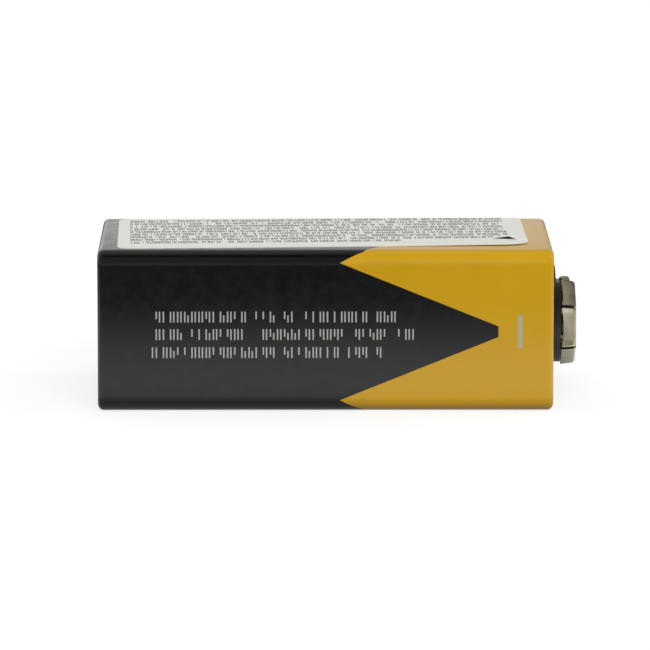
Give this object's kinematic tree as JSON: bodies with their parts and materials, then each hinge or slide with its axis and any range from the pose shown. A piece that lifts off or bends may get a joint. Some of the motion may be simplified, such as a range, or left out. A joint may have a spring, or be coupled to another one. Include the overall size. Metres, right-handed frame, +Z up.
{
  "type": "nine volt battery",
  "caption": "Flat rectangular nine volt battery with a printed steel jacket and a snap stud and socket on one end.",
  "frame": {"origin": "middle of the footprint on the wide face that it lies on", "axes": "+X along the length towards the terminals, +Y across the width away from the viewer, +Z up through the thickness"},
  "size_m": [0.0486, 0.026, 0.0165],
  "materials": {
    "printed_jacket": "printed lacquer on sheet steel, satin",
    "label_film": "bare label paper",
    "black_cover": "moulded, fine grain",
    "nickel_terminal": "nickel plated, satin",
    "tinned_rivet": "tinned, smooth",
    "nickel_strip": "rolled strip",
    "card": "pressed card",
    "sleeve_film": "thin film",
    "cell_steel": "drawn, nickel plated",
    "seal_nylon": "moulded"
  },
  "bodies": {
    "root": {"jacket": "printed_jacket", "label": "label_film", "top_cover": "black_cover", "bottom_cover": "black_cover", "positive_stud": "nickel_terminal", "negative_socket": "nickel_terminal", "terminal_rivets": "tinned_rivet", "positive_lead": "nickel_strip", "negative_lead": "nickel_strip", "top_card": "card", "bottom_card": "card", "cell_sleeve": "sleeve_film", "cell_link_1_2": "nickel_strip", "cell_link_2_3": "nickel_strip", "cell_link_3_4": "nickel_strip", "cell_link_4_5": "nickel_strip", "cell_link_5_6": "nickel_strip", "cell_1_can": "cell_steel", "cell_2_can": "cell_steel", "cell_3_can": "cell_steel", "cell_4_can": "cell_steel", "cell_5_can": "cell_steel", "cell_6_can": "cell_steel", "cell_1_seal": "seal_nylon", "cell_2_seal": "seal_nylon", "cell_3_seal": "seal_nylon", "cell_4_seal": "seal_nylon", "cell_5_seal": "seal_nylon", "cell_6_seal": "seal_nylon", "cell_1_cap": "nickel_terminal", "cell_2_cap": "nickel_terminal", "cell_3_cap": "nickel_terminal", "cell_4_cap": "nickel_terminal", "cell_5_cap": "nickel_terminal", "cell_6_cap": "nickel_terminal"}
  },
  "joints": []
}
